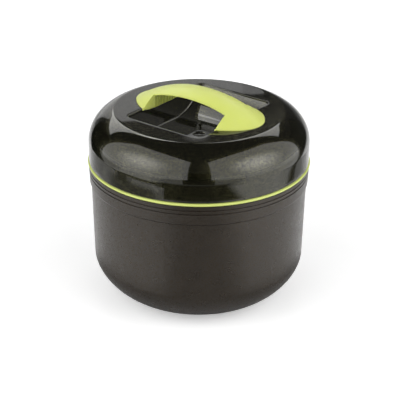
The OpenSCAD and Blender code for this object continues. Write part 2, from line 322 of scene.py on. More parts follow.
class NodeBoard:
    """A node tree, with short calls to add and wire nodes."""

    def __init__(self, tree: bpy.types.NodeTree) -> None:
        """Take a tree as it stands."""
        self.tree = tree

    def add(self, kind: str, **settings: object) -> bpy.types.Node:
        """Add a node.

        Args:
            kind: Its kind.
            settings: Properties to set on it.

        Returns:
            The new node.
        """
        node = self.tree.nodes.new(kind)
        for key, value in settings.items():
            setattr(node, key, value)
        return node

    def wire(self, source: object, target: bpy.types.NodeSocket) -> None:
        """Link a socket to an input, or set the input to a plain value.

        Args:
            source: The socket or the value.
            target: The input.
        """
        if isinstance(source, bpy.types.NodeSocket):
            self.tree.links.new(source, target)
        else:
            target.default_value = source

    def span(self, value: bpy.types.NodeSocket, source: Spot, target: Spot,
             kind: str = "LINEAR") -> bpy.types.NodeSocket:
        """Map a value from one range to another, held at its ends.

        Args:
            value: The value.
            source: Its range.
            target: The range that it is mapped to.
            kind: Way of going from end to end.

        Returns:
            The mapped value.
        """
        node = self.add("ShaderNodeMapRange", interpolation_type=kind)
        self.wire(value, node.inputs["Value"])
        for name, number in zip(("From Min", "From Max", "To Min", "To Max"), source + target):
            self.wire(number, node.inputs[name])
        return node.outputs["Result"]

    def sum(self, kind: str, one: object, other: object) -> bpy.types.NodeSocket:
        """Reckon with two values.

        Args:
            kind: Name of the operation.
            one: First value or socket.
            other: Second value or socket.

        Returns:
            The result.
        """
        node = self.add("ShaderNodeMath", operation=kind)
        self.wire(one, node.inputs[0])
        self.wire(other, node.inputs[1])
        return node.outputs[0]

    def vector(self, kind: str, one: object, other: object = None) -> bpy.types.Node:
        """Reckon with vectors.

        Args:
            kind: Name of the operation.
            one: First vector or socket.
            other: Second vector or socket, if there is one.

        Returns:
            The node, whose output depends on the operation.
        """
        node = self.add("ShaderNodeVectorMath", operation=kind)
        self.wire(one, node.inputs[0])
        if other is not None:
            self.wire(other, node.inputs[1])
        return node

    def parts(self, vector: bpy.types.NodeSocket) -> bpy.types.NodeOutputs:
        """Take a vector apart.

        Args:
            vector: The vector.

        Returns:
            Its X, Y and Z.
        """
        node = self.add("ShaderNodeSeparateXYZ")
        self.wire(vector, node.inputs[0])
        return node.outputs


class MaterialBoard(NodeBoard):
    """Node tree of a new material, with its shader and the piece's own coordinates."""

    def __init__(self, name: str) -> None:
        """Start the material with a shader and its output.

        Args:
            name: Name of the material.
        """
        self.material = bpy.data.materials.new(name)
        self.material.use_nodes = True
        super().__init__(self.material.node_tree)
        self.tree.nodes.clear()
        self.shader = self.add("ShaderNodeBsdfPrincipled")
        self.wire(self.shader.outputs[0], self.add("ShaderNodeOutputMaterial").inputs["Surface"])
        self.place = self.add("ShaderNodeTexCoord").outputs["Object"]

    def dress(self, inputs: dict[str, object]) -> bpy.types.Material:
        """Wire the shader's inputs.

        Args:
            inputs: Socket or value of each input, by its name.

        Returns:
            The material.
        """
        for name, source in inputs.items():
            self.wire(source, self.shader.inputs[name])
        return self.material

    def noise(self, size: float, detail: float = 2.0, place: object = None) -> bpy.types.NodeSocket:
        """Soft noise.

        Args:
            size: Size of its patches.
            detail: Number of finer layers.
            place: Coordinates, or the piece's own.

        Returns:
            The noise's value, about 0.5 on average.
        """
        node = self.add("ShaderNodeTexNoise")
        self.wire(self.place if place is None else place, node.inputs["Vector"])
        self.wire(1 / size, node.inputs["Scale"])
        self.wire(detail, node.inputs["Detail"])
        return node.outputs["Fac"]

    def drift(self, size: float, detail: float, ends: Spot,
              source: Spot = NOISE_ENDS) -> bpy.types.NodeSocket:
        """Value that drifts over a piece with soft noise.

        Args:
            size: Size of the noise's patches.
            detail: Number of finer layers.
            ends: Ends that the value stays between.
            source: Levels of the noise at those ends.

        Returns:
            The value.
        """
        return self.span(self.noise(size, detail), source, ends)

    def cells(self, size: float) -> bpy.types.Node:
        """Cells, each with a colour of its own.

        Args:
            size: Size of the cells.

        Returns:
            The node, with the cells' colours and distances.
        """
        node = self.add("ShaderNodeTexVoronoi", feature="F1")
        self.wire(self.place, node.inputs["Vector"])
        self.wire(1 / size, node.inputs["Scale"])
        return node

    def blend(self, share: object, one: object, other: object, kind: str = "MIX") -> bpy.types.NodeSocket:
        """Mix two colours.

        Args:
            share: Share of the second colour.
            one: First colour or socket.
            other: Second colour or socket.
            kind: Way of mixing.

        Returns:
            The mixed colour.
        """
        node = self.add("ShaderNodeMix", data_type="RGBA", blend_type=kind)
        self.wire(share, node.inputs["Factor"])
        for value, target in ((one, node.inputs[6]), (other, node.inputs[7])):
            self.wire((*value, 1.0) if isinstance(value, tuple) else value, target)
        return node.outputs[2]

    def bump(self, height: bpy.types.NodeSocket, depth: float) -> bpy.types.NodeSocket:
        """Normal that follows a height.

        Args:
            height: The height, from 0 to 1.
            depth: Depth that a height of 1 stands for.

        Returns:
            The new normal.
        """
        node = self.add("ShaderNodeBump")
        self.wire(height, node.inputs["Height"])
        self.wire(depth, node.inputs["Distance"])
        self.wire(1.0, node.inputs["Strength"])
        return node.outputs["Normal"]

    def scuffs(self, height: float, size: float) -> bpy.types.NodeSocket:
        """Mask of rubbed places near a piece's foot.

        Args:
            height: Height above the floor at which the rubbing ends.
            size: Size of the rubbed patches.

        Returns:
            A mask from 0, untouched, to 1, rubbed.
        """
        low = self.span(self.parts(self.place)["Z"], (0.0, height), (1.0, 0.0))
        return self.sum("MULTIPLY", low, self.drift(size, 4.0, (0.0, 1.0), (0.45, 0.65)))


@dataclass(frozen=True)
class FleckedPlastic:
    """Dark moulded plastic with metal flakes in it, left satin or under a clear gloss coat."""

    name: str
    colour: Colour
    fleck: Colour
    fleck_size: float
    fleck_share: float
    fleck_tilt: float
    roughness: float
    specular: float
    coat: float = 0.0
    coat_roughness: float = 0.03
    coat_ior: float = 1.5
    cloud_size: float = 0.014
    cloud: Spot = (0.88, 1.12)
    rough_size: float = 0.009
    rough_spread: float = 0.04
    rubbed: Colour = (0.16, 0.15, 0.13)
    rubbed_height: float = 0.004
    rubbed_size: float = 0.006
    rubbed_rough: float = 0.2
    skin_size: float = 0.0009
    skin: float = 0.00002

    def material(self) -> bpy.types.Material:
        """Build the finish from nodes.

        Returns:
            The new material.
        """
        board = MaterialBoard(self.name)
        flakes = board.cells(self.fleck_size).outputs["Color"]
        pick = board.add("ShaderNodeSeparateColor")
        board.wire(flakes, pick.inputs[0])
        shown = board.span(pick.outputs[0], (1 - self.fleck_share, 1 - self.fleck_share / 2), (0.0, 1.0))
        cloud = board.drift(self.cloud_size, 3.0, self.cloud)
        rub = board.scuffs(self.rubbed_height, self.rubbed_size)
        worn = board.blend(rub, board.blend(1.0, self.colour, cloud, "MULTIPLY"), self.rubbed)
        rough = board.drift(self.rough_size, 4.0, around(self.roughness, self.rough_spread))
        lean = board.vector("SCALE", board.vector("SUBTRACT", flakes, (0.5, 0.5, 0.5)).outputs[0])
        board.wire(board.sum("MULTIPLY", shown, self.fleck_tilt), lean.inputs["Scale"])
        grain = board.bump(board.noise(self.skin_size, 3.0), self.skin)
        tilted = board.vector("ADD", grain, lean.outputs[0])
        return board.dress({
            "Base Color": board.blend(shown, worn, self.fleck),
            "Metallic": shown,
            "Roughness": board.sum("ADD", rough, board.sum("MULTIPLY", rub, self.rubbed_rough)),
            "Normal": board.vector("NORMALIZE", tilted.outputs[0]).outputs[0],
            "Specular IOR Level": self.specular,
            "Coat Weight": self.coat,
            "Coat Roughness": self.coat_roughness,
            "Coat IOR": self.coat_ior,
        })


@dataclass(frozen=True)
class SoftPlastic:
    """Plain coloured plastic, rubber or foam with a fine moulded skin."""

    name: str
    colour: Colour
    shade: Colour
    roughness: float
    skin_size: float
    skin: float
    grain: Grain = Grain.PLAIN
    specular: float = 0.5
    patch: float = 0.03
    patch_ends: Spot = (0.35, 0.7)
    rough_spread: float = 0.05
    soak: float = 0.0
    soak_depth: float = 0.004

    def material(self) -> bpy.types.Material:
        """Build the finish from nodes.

        Returns:
            The new material.
        """
        board = MaterialBoard(self.name)
        cloud = board.drift(self.patch, 3.0, (0.0, 1.0), self.patch_ends)
        rough = board.drift(self.patch / 4, 4.0, around(self.roughness, self.rough_spread))
        if self.grain is Grain.FOAMED:
            height = board.cells(self.skin_size).outputs["Distance"]
        else:
            height = board.noise(self.skin_size, 3.0)
        return board.dress({
            "Base Color": board.blend(cloud, self.colour, self.shade),
            "Roughness": rough,
            "Normal": board.bump(height, self.skin),
            "Specular IOR Level": self.specular,
            "Subsurface Weight": self.soak,
            "Subsurface Scale": self.soak_depth,
            "Subsurface Radius": self.colour,
        })


@dataclass(frozen=True)
class BrushedSteel:
    """Bare steel with the fine marks of its making."""

    name: str
    colour: Colour
    roughness: float
    grain: Grain
    line_size: float = 0.0004
    line_depth: float = 0.00001
    line_rough: Spot = (-0.08, 0.1)
    smear_size: float = 0.02
    smear: Spot = (0.92, 1.04)

    def material(self) -> bpy.types.Material:
        """Build the finish from nodes.

        Returns:
            The new material.
        """
        board = MaterialBoard(self.name)
        place = board.place
        if self.grain is Grain.TURNED:
            flat = board.vector("MULTIPLY", board.place, (1.0, 1.0, 0.0))
            joined = board.add("ShaderNodeCombineXYZ")
            board.wire(board.vector("LENGTH", flat.outputs[0]).outputs["Value"], joined.inputs["X"])
            board.wire(board.parts(board.place)["Z"], joined.inputs["Y"])
            place = joined.outputs[0]
        lines = board.noise(self.line_size, 4.0, place)
        smears = board.drift(self.smear_size, 3.0, self.smear)
        line_rough = (self.roughness + self.line_rough[0], self.roughness + self.line_rough[1])
        return board.dress({
            "Base Color": board.blend(1.0, self.colour, smears, "MULTIPLY"),
            "Metallic": 1.0,
            "Roughness": board.span(lines, NOISE_ENDS, line_rough),
            "Normal": board.bump(lines, self.line_depth),
        })


@dataclass(frozen=True)
class StudioPaper:
    """Plain paper of the studio.

    It may be lifted to white where it is seen, and more so further out. A mesh attribute may say how much it
    covers what lies below.
    """

    name: str
    colour: Colour
    lift: Spot = (0.0, 0.0)
    lift_run: Spot = (0.3, 0.9)
    cover: str = ""

    def material(self) -> bpy.types.Material:
        """Build the finish from nodes.

        Returns:
            The new material.
        """
        board = MaterialBoard(self.name)
        rays = board.add("ShaderNodeLightPath").outputs
        away = board.vector("LENGTH", board.place).outputs["Value"]
        seen = board.sum("MULTIPLY", rays["Is Camera Ray"], board.span(away, self.lift_run, self.lift))
        mirrored = board.sum("MAXIMUM", rays["Is Glossy Ray"], rays["Is Transmission Ray"])
        if self.cover:
            board.dress({"Alpha": board.add("ShaderNodeAttribute", attribute_name=self.cover).outputs["Fac"]})
        return board.dress({
            "Base Color": (*self.colour, 1.0),
            "Roughness": 0.9,
            "Specular IOR Level": 0.0,
            "Emission Color": (1.0, 1.0, 1.0, 1.0),
            "Emission Strength": board.sum("MAXIMUM", seen, board.sum("MULTIPLY", mirrored, self.lift[0])),
        })


Finish = FleckedPlastic | SoftPlastic | BrushedSteel | StudioPaper

POT_PLASTIC = FleckedPlastic("pot_plastic", colour=(0.0180, 0.0130, 0.0080), fleck=(0.060, 0.049, 0.036),
                             fleck_size=0.0005, fleck_share=0.3, fleck_tilt=0.26, roughness=0.30,
                             specular=0.5)
COLLAR_PLASTIC = replace(POT_PLASTIC, name="collar_plastic", roughness=0.32)
LID_PLASTIC = FleckedPlastic("lid_plastic", colour=(0.0026, 0.0027, 0.0014), fleck=(0.090, 0.086, 0.042),
                             fleck_size=0.00028, fleck_share=0.34, fleck_tilt=0.10, roughness=0.17,
                             specular=0.0, coat=1.0, coat_roughness=0.02, coat_ior=1.56)
COVER_PLASTIC = SoftPlastic("cover_plastic", colour=(0.30, 0.30, 0.29), shade=(0.27, 0.27, 0.26),
                            roughness=0.42, skin_size=0.0008, skin=0.00003)
LIME_PLASTIC = SoftPlastic("lime_plastic", colour=(0.67, 0.735, 0.18), shade=(0.65, 0.715, 0.165),
                           roughness=0.42, skin_size=0.0007, skin=0.00002, specular=0.7, soak=0.35)
LIME_RUBBER = SoftPlastic("lime_rubber", colour=(0.55, 0.62, 0.165), shade=(0.535, 0.603, 0.15),
                          roughness=0.46, skin_size=0.0005, skin=0.00002)
GREY_RUBBER = SoftPlastic("gasket_rubber", colour=(0.32, 0.32, 0.30), shade=(0.28, 0.28, 0.27),
                          roughness=0.6, skin_size=0.0006, skin=0.00003)
PALE_FOAM = SoftPlastic("foam", colour=(0.80, 0.74, 0.55), shade=(0.72, 0.65, 0.45), roughness=0.9,
                        skin_size=0.0012, skin=0.0003, grain=Grain.FOAMED, specular=0.2, patch=0.012)
BOWL_STEEL = BrushedSteel("liner_steel", colour=(0.62, 0.62, 0.61), roughness=0.27, grain=Grain.TURNED)
SCREW_STEEL = BrushedSteel("screw_steel", colour=(0.58, 0.58, 0.58), roughness=0.32, grain=Grain.PLAIN)
WHITE_PAPER = StudioPaper("studio_paper", colour=(0.95, 0.95, 0.95), lift=(0.33, 1.0))


@lru_cache(maxsize=None)
def material_of(finish: Finish) -> bpy.types.Material:
    """The material of a finish, built once."""
    return finish.material()


def paint(piece: bpy.types.Object, finish: Finish) -> None:
    """Give a piece one finish all over."""
    piece.data.materials.clear()
    piece.data.materials.append(material_of(finish))


def settle(piece: bpy.types.Object, finish: Finish, body: Body, *nodes: str) -> None:
    """Finish a new piece, set it on its body and let it stand for solids.

    Args:
        piece: The new piece.
        finish: Its finish, named like its material slot.
        body: The body that it rides on.
        nodes: The solids that it stands for.
    """
    paint(piece, finish)
    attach(piece, body.value)
    if nodes:
        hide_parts(*nodes)
    LOG.info("%s: %d faces on %s", piece.name, len(piece.data.polygons), body.value)


def keep(finishes: dict[str, Finish]) -> None:
    """Finish the solids that are shown as they are.

    Args:
        finishes: Finish of each solid, by its node.
    """
    for node, finish in finishes.items():
        paint(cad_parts[node], finish)
        LOG.info("%s: kept, in %s", node, finish.name)


@dataclass
class Pot:
    """The pot: outer wall, collar, steel bowl and what is sealed between them."""

    wall: float = 0.0024
    draft: float = 0.0014
    round_h: float = 0.035
    round_w: float = 0.0377
    round_power: float = 1.65
    foot_w: float = 0.007
    foot_h: float = 0.0016
    tongue_h: float = 0.005
    fill_r: float = 0.009
    edge: float = 0.0006
    round_steps: int = 32
    wall_steps: int = 8

    def outer_line(self, inset: float, floor_z: float) -> list[Spot]:
        """Line of the pot from its floor to its top.

        Args:
            inset: How far the line is drawn in.
            floor_z: Height of the line's floor.

        Returns:
            Radius and height of each point.
        """
        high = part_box("body_shell")[1]
        base_r = high.x - self.draft - self.round_w
        top_z = high.z - self.tongue_h
        line = round_line((base_r, self.round_h), (self.round_w - inset, self.round_h - floor_z),
                          self.round_power, (-90, 0), self.round_steps)
        foot_r, foot_z = line[-1]
        for step in range(1, self.wall_steps + 1):
            share = step / self.wall_steps
            line.append((foot_r + self.draft * share, foot_z + (top_z - foot_z) * share))
        return line

    def build_wall(self) -> bpy.types.Object:
        """Turn the outer wall, with its foot ring, filling hole and tongue.

        Returns:
            The new wall.
        """
        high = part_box("body_shell")[1]
        floor_z = self.foot_h + self.wall
        outer = self.outer_line(0.0, 0.0)
        inner = self.outer_line(self.wall, floor_z)
        foot_r = outer[0][0] - self.foot_w
        tongue_r = inner[-1][0] + self.wall / 2
        soft = self.edge
        under = eased_line([(self.fill_r, floor_z, 0), (self.fill_r, self.foot_h, soft / 2),
                            (foot_r, self.foot_h, soft), (foot_r, 0.0, soft), (outer[0][0], 0.0, 0)])
        top = [(outer[-1][0] - soft / 2, outer[-1][1]), (tongue_r, outer[-1][1]), (tongue_r, high.z),
               (inner[-1][0], high.z)]
        draft = Draft()
        draft.turn(under + outer[1:-1] + [(outer[-1][0], outer[-1][1] - soft / 2)] + top + inner[::-1])
        return draft.make("pot_wall")

    def build(self) -> None:
        """Build and dress the pieces of the pot."""
        settle(self.build_wall(), POT_PLASTIC, Body.POT, "body_shell")
        keep({"rim_collar": COLLAR_PLASTIC, "food_liner": BOWL_STEEL, "liner_gasket": GREY_RUBBER,
              "body_insulation": PALE_FOAM, "fill_plug": POT_PLASTIC})


@dataclass
class Seal:
    """The lime seal ring between the pot and the lid."""

    width: float = 0.0066
    bead_steps: int = 12

    def build(self) -> None:
        """Turn the ring, with its round outer bead."""
        low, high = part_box("seal_ring")
        bead = (high.z - low.z) / 2
        line = round_line((high.x - bead, low.z + bead), (bead, bead), 2, (-90, 90), self.bead_steps)
        line += [(high.x - self.width, high.z), (high.x - self.width, low.z)]
        draft = Draft()
        draft.turn(line)
        settle(draft.make("seal_bead"), LIME_RUBBER, Body.SEAL, "seal_ring")


@dataclass(frozen=True)
class Trough:
    """Finger trough in the lid: a rounded rectangle in plan, with a channel across the handle."""

    half_w: float = 0.0381
    half_l: float = 0.0508
    depth: float = 0.0227
    flat_half: float = 0.017
    corner: float = 0.0055
    lip: float = 0.0011
    least_lip: float = 0.0003
    nook: float = 0.0016
    nook_run: float = 0.007
    rows: int = 96
    columns: int = 72
    wall_steps: int = 8
    nook_steps: int = 4

    def grown(self, wall: float) -> "Trough":
        """The same trough seen from behind its wall."""
        return replace(self, half_w=self.half_w + wall, half_l=self.half_l + wall, corner=self.corner + wall,
                       lip=max(self.lip - wall, self.least_lip), nook=self.nook + wall)

    def section(self, row: int) -> tuple[float, float, Spot]:
        """Channel at a row across it.

        Args:
            row: Number of the row, from 0 to rows.

        Returns:
            Its place along the trough, its depth below the top and its normal in that plane.
        """
        run, hang = self.half_l - self.flat_half, self.depth - self.lip
        bend = (run * run + hang * hang) / (2 * hang)
        whole = self.flat_half + bend * math.asin(run / bend)
        place = whole * (2 * row / self.rows - 1)
        angle = max(0.0, abs(place) - self.flat_half) / bend
        side = math.copysign(1.0, place)
        y = side * (min(abs(place), self.flat_half) + bend * math.sin(angle))
        return y, bend * (1 - math.cos(angle)) - self.depth, (-side * math.sin(angle), math.cos(angle))

    def past(self, y: float) -> float:
        """How far a place along the trough lies past the start of its round corners."""
        return max(0.0, abs(y) - (self.half_l - self.corner))

    def reach(self, y: float) -> float:
        """Half width of the trough at a place along it."""
        return self.half_w - self.corner + math.sqrt(max(0.0, self.corner ** 2 - self.past(y) ** 2))

    def ring(self, r: float, z: float) -> list[Point]:
        """Level circle whose points face those of the trough's outline."""
        sides = 2 * (self.rows + self.columns)
        return circle(r, z, sides, -math.pi * self.rows / sides)

    def nook_at(self, y: float) -> float:
        """Radius of the nook between wall and channel, which fades out towards the corners."""
        return self.nook * ease((self.half_l - self.corner - abs(y)) / self.nook_run)

    def outline(self, offset: float) -> list[Spot]:
        """Plan of the trough's edge, anticlockwise from its corner at +X -Y.

        Args:
            offset: How far the plan is grown.

        Returns:
            The points of the plan.
        """
        half: list[Spot] = []
        straight = self.half_w - self.corner
        for row in range(self.rows):
            y = self.section(row)[0]
            x = self.reach(y)
            over = self.past(y) / self.corner
            side = math.sqrt(max(0.0, 1 - over * over))
            half.append((x + offset * side, y + offset * math.copysign(over, y)))
        for column in range(self.columns):
            half.append((straight * (1 - 2 * column / self.columns), self.half_l + offset))
        return half + [(-x, -y) for x, y in half]

    def row_points(self, row: int, top: float) -> list[Point]:
        """Points across the trough at a row, from below the +X edge to below the -X edge.

        Args:
            row: Number of the row.
            top: Height of the lid's top.

        Returns:
            The points of wall, nook, channel, nook and wall.
        """
        y, z, (ny, nz) = self.section(row)
        wall_x, nook = self.reach(y), self.nook_at(y)
        foot = (y + nook * ny, top + z + nook * nz)
        side: list[Point] = []
        for step in range(1, self.wall_steps):
            share = step / self.wall_steps
            side.append((wall_x, y + (foot[0] - y) * share,
                         top - self.lip + (foot[1] - top + self.lip) * share))
        for step in range(self.nook_steps + 1):
            angle = math.pi / 2 * step / self.nook_steps
            lift = nook * (1 - math.sin(angle))
            side.append((wall_x - nook * (1 - math.cos(angle)), y + ny * lift, top + z + nz * lift))
        flat = wall_x - nook
        bed = [(flat * (1 - 2 * column / self.columns), y, top + z) for column in range(1, self.columns)]
        return side + bed + [(-p[0], p[1], p[2]) for p in reversed(side)]


@dataclass
class Lid:
    """The lid: glossy shell with its trough, foam and cover underneath."""

    trough: Trough = Trough()
    skirt_h: float = 0.0164
    shoulder_w: float = 0.0298
    shoulder_cut: float = 0.0011
    rim_soft: float = 0.001
    wall: float = 0.0024
    edge: float = 0.0006
    pocket_depth: float = 0.0016
    pocket_gap: float = 0.0002
    dimple_r: float = 0.006
    dimple_d: float = 0.0006
    dimple_flat: float = 0.9
    dimple_sides: int = 64
    shoulder_steps: int = 32
    skirt_steps: int = 5
    flat_steps: int = 8
    lip_steps: int = 5

    def shell_line(self, inset: float) -> list[Spot]:
        """Line of the lid from its lower edge to the flat of its top.

        Args:
            inset: How far the line is drawn in.

        Returns:
            Radius and height of each point.
        """
        low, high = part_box("lid_shell")
        seam = low.z + self.edge
        knee = low.z + self.skirt_h
        rise = (knee - seam) / self.skirt_steps
        skirt = [(high.x - inset, seam + rise * step) for step in range(self.skirt_steps)]
        top = high.z - inset
        half = (self.shoulder_w - inset, top - knee + self.shoulder_cut)
        centre = (high.x - self.shoulder_w, knee)
        rim_turn = math.asin((top - knee) / half[1])
        arc_turn = math.degrees(rim_turn - self.rim_soft / half[0])
        arc = round_line(centre, half, 2, (0, arc_turn), self.shoulder_steps)
        rim = Vector((centre[0] + half[0] * math.cos(rim_turn), top))
        return skirt + arc[:-1] + bend_line(rim, Vector(arc[-1]) - rim, Vector((-self.rim_soft, 0.0)))

    def skin(self, draft: Draft, inset: float) -> list[int]:
        """Add one skin of the shell.

        Args:
            draft: The draft that takes the skin.
            inset: How far the skin is drawn in.

        Returns:
            Numbers of the points of its lowest loop.
        """
        trough = self.trough.grown(inset)
        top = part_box("lid_shell")[1].z - inset
        line = self.shell_line(inset)
        loops = [draft.loop(trough.ring(r, z)) for r, z in line]
        ring = trough.ring(line[-1][0], top)
        edge = trough.outline(trough.lip)
        for step in range(1, self.flat_steps + 1):
            share = step / self.flat_steps
            loops.append(draft.loop([(p[0] + (e[0] - p[0]) * share, p[1] + (e[1] - p[1]) * share, top)
                                     for p, e in zip(ring, edge)]))
        for step in range(1, self.lip_steps + 1):
            angle = math.pi / 2 * step / self.lip_steps
            z = top - trough.lip * (1 - math.cos(angle))
            plan = trough.outline(trough.lip * (1 - math.sin(angle)))
            loops.append(draft.loop([(x, y, z) for x, y in plan]))
        draft.chain(loops)
        self.line_trough(draft, trough, loops[-1], top)
        return loops[0]

    def line_trough(self, draft: Draft, trough: Trough, brink: Sequence[int], top: float) -> None:
        """Add the walls and the channel of the trough.

        Args:
            draft: The draft that takes them.
            trough: The trough.
            brink: Numbers of the points of the trough's edge.
            top: Height of the lid's top.
        """
        rows, columns = trough.rows, trough.columns
        side = trough.wall_steps + trough.nook_steps
        far = [brink[rows + i] for i in range(columns + 1)]
        near = [brink[0]] + [brink[-i] for i in range(1, columns + 1)]
        before = [near[0]] * side + near + [near[-1]] * side
        for row in range(1, rows + 1):
            if row == rows:
                line = [far[0]] * side + far + [far[-1]] * side
            else:
                line = [brink[row], *draft.loop(trough.row_points(row, top)), brink[2 * rows + columns - row]]
            draft.strip(before, line, closed=False)
            before = line

    def cutter(self, handle: "Handle") -> bpy.types.Object:
        """Solid of the two pad pockets and the dimple in the trough's floor.

        Args:
            handle: The handle whose pads need the pockets.

        Returns:
            The cutter, which is removed after use.
        """
        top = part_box("lid_shell")[1].z
        draft = Draft()
        inner = self.trough.half_w - self.trough.lip
        plan = handle.pad_plan(inner, self.pocket_gap)
        for turn in (1, -1):
            draft.prism([(turn * x, turn * y) for x, y in plan], *around(top, self.pocket_depth))
        floor, r, deep = top - self.trough.depth, self.dimple_r, self.dimple_d
        draft.turn([(0.0, floor - deep), (r * self.dimple_flat, floor - deep), (r, floor - deep / 2),
                    (r, floor + deep), (0.0, floor + deep)], self.dimple_sides)
        return draft.make("lid_cutter")

    def build(self, handle: "Handle") -> None:
        """Build and dress the pieces of the lid.

        Args:
            handle: The handle whose pads sit in the lid.
        """
        low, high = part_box("lid_shell")
        draft = Draft()
        outer, inner = self.skin(draft, 0.0), self.skin(draft, self.wall)
        inner_x, rim_z = high.x - self.wall, low.z + 2 * self.edge
        rim = eased_line([(high.x, rim_z, 0), (high.x, low.z, self.edge), (inner_x, low.z, self.edge / 2),
                          (inner_x, rim_z, 0)])
        draft.chain([outer] + [draft.loop(self.trough.ring(r, z)) for r, z in rim[1:-1]] + [inner])
        shell = draft.make("lid_dome")
        cutter = self.cutter(handle)
        cut = shell.modifiers.new("pockets", "BOOLEAN")
        cut.object = cutter
        cut.operation = "DIFFERENCE"
        cut.solver = "EXACT"
        freeze(shell)
        bpy.data.objects.remove(cutter)
        weigh(shell)
        settle(shell, LID_PLASTIC, Body.LID, "lid_shell")
        keep({"lid_insulation": PALE_FOAM, "lid_liner": COVER_PLASTIC})


@dataclass
class Handle:
    """The arched lime handle: a crowned grip between two leaf-shaped pads, with its screws."""

    inner_u: float = 0.0375
    pad_l: float = 0.0245
    pad_half_w: float = 0.0368
    bar_half: float = 0.0146
    crown_mid: float = 0.024
    crown_pad: float = 0.034
    bar_edge: float = 0.001
    pad_lip: float = 0.0004
    pad_soft: float = 0.0006
    pad_sink: float = 0.0015
    apron: float = 0.0005
    apron_drop: float = 0.0035
    apron_half: float = 0.0275
    tip_deg: float = 2.0
    edge: float = 0.00045
    edge_deg: float = 38
    crease_deg: float = 50
    rib_half_run: float = 0.0155
    rib_pitch: float = 0.0036
    rib_w: float = 0.0012
    rib_out: float = 0.0009
    rib_taper: float = 0.6
    arch_steps: int = 60
    bar_steps: int = 20
    flank_steps: int = 10
    pad_steps: int = 26
    lid_top: float = field(init=False)
    rise: float = field(init=False)
    half_l: float = field(init=False)
    start: float = field(init=False)

    def __post_init__(self) -> None:
        """Take the handle's foot from the lid and its rise from its solid, and reckon its length from its
        inner edge and pads.
        """
        self.lid_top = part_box("lid_shell")[1].z
        self.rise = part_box("handle")[1].z - self.lid_top
        self.half_l = self.inner_u + self.pad_l
        self.start = math.acos(self.inner_u / self.half_l)

    def crest(self, u: float, v: float) -> float:
        """Height of the crowned grip at a place."""
        crown = self.crown_mid + (self.crown_pad - self.crown_mid) * (u / self.inner_u) ** 2
        return self.lid_top + self.rise * (1 - (u / self.half_l) ** 2) - v * v / (2 * crown)

    def underside(self, u: float) -> float:
        """Height of the grip's flat underside at a place along it."""
        return self.crest(u, self.bar_half) - self.bar_edge

    def pad_top(self, u: float, v: float) -> float:
        """Height of a pad, whose rim stays just proud of the lid.

        Args:
            u: Place along the handle.
            v: Place across it.

        Returns:
            The height above the base.
        """
        rim = self.lid_top + self.pad_lip
        over = self.crest(u, v) - rim
        return rim + (over + math.sqrt(over * over + self.pad_soft * self.pad_soft)) / 2

    def pad_plan(self, inner: float, gap: float) -> list[Spot]:
        """Plan of one pad.

        Args:
            inner: Distance of its straight edge from the axis.
            gap: How far the plan is grown.

        Returns:
            The points of the plan, round the tip.
        """
        last = math.acos(inner / (self.half_l + gap))
        angles = [last * (i / self.pad_steps - 1) for i in range(2 * self.pad_steps + 1)]
        return [((self.half_l + gap) * math.cos(a), (self.pad_half_w + gap) * math.sin(a)) for a in angles]

    def places(self) -> list[float]:
        """Places across a pad at its straight edge.

        Returns:
            The places, with those of the grip in the middle.
        """
        wide = self.pad_half_w * math.sin(self.start)
        bar = [self.bar_half * (2 * i / self.bar_steps - 1) for i in range(self.bar_steps + 1)]
        steps = range(1, self.flank_steps + 1)
        flank = [self.bar_half + (wide - self.bar_half) * i / self.flank_steps for i in steps]
        return [-v for v in reversed(flank)] + bar + flank

    def apron_z(self, v: float) -> float:
        """Lower edge of a pad's apron in the trough, with rounded ends."""
        round_end = max(0.0, 1 - (abs(v) / self.apron_half) ** 4)
        return self.lid_top - max(self.pad_sink, self.apron_drop * math.sqrt(round_end))

    def build_grip(self) -> bpy.types.Object:
        """Build the grip bar and both pads as one piece.

        Returns:
            The new piece.
        """
        draft = Draft()
        arch = [self.inner_u * (2 * i / self.arch_steps - 1) for i in range(self.arch_steps + 1)]
        bar = self.places()[self.flank_steps:-self.flank_steps]
        tops = [draft.loop([(u, v, self.crest(u, v)) for v in bar]) for u in arch]
        lows = [draft.loop([(u, v, self.underside(u)) for v in bar]) for u in arch]
        draft.wrap(tops, lows)
        for turn, top, low in ((1, tops[-1], lows[-1]), (-1, tops[0][::-1], lows[0][::-1])):
            self.add_pad(draft, turn, top, low)
        piece = draft.make("grip")
        rounding = piece.modifiers.new("edges", "BEVEL")
        rounding.width = self.edge
        rounding.segments = 3
        rounding.limit_method = "ANGLE"
        rounding.angle_limit = math.radians(self.edge_deg)
        freeze(piece, self.crease_deg)
        weigh(piece)
        return piece

    def add_pad(self, draft: Draft, turn: int, bar_top: Sequence[int], bar_low: Sequence[int]) -> None:
        """Add one pad to the grip.

        Args:
            draft: The draft of the grip.
            turn: 1 for the pad at +X, -1 for the one at -X.
            bar_top: Numbers of the points of the bar's top at the pad.
            bar_low: Numbers of the points of the bar's underside at the pad.
        """
        places, flank = self.places(), self.flank_steps
        angles = [self.start + (math.radians(self.tip_deg) - self.start) * i / self.pad_steps
                  for i in range(self.pad_steps + 1)]
        rings = [(self.inner_u, 1.0, True), (self.inner_u + self.apron, 1.0, True)]
        rings += [(self.inner_u + self.apron, 1.0, False)]
        rings += [(self.half_l * math.cos(a), math.sin(a) / math.sin(self.start), False) for a in angles[1:]]
        tops, lows = [], []
        for number, (u, share, hangs) in enumerate(rings):
            top = draft.loop([(turn * u, turn * v * share, self.pad_top(u, v * share)) for v in places])
            if number == 0:
                top[flank:-flank] = bar_top
            tops.append(top)
            feet = [self.apron_z(v) if hangs else self.lid_top - self.pad_sink for v in places]
            lows.append(draft.loop([(turn * u, turn * v * share, z) for v, z in zip(places, feet)]))
        draft.wrap(tops, lows)
        draft.strip(tops[-1], lows[-1], closed=False)
        draft.face([*tops[0][-flank - 1:], *reversed(lows[0]), *tops[0][:flank + 1], *bar_low])

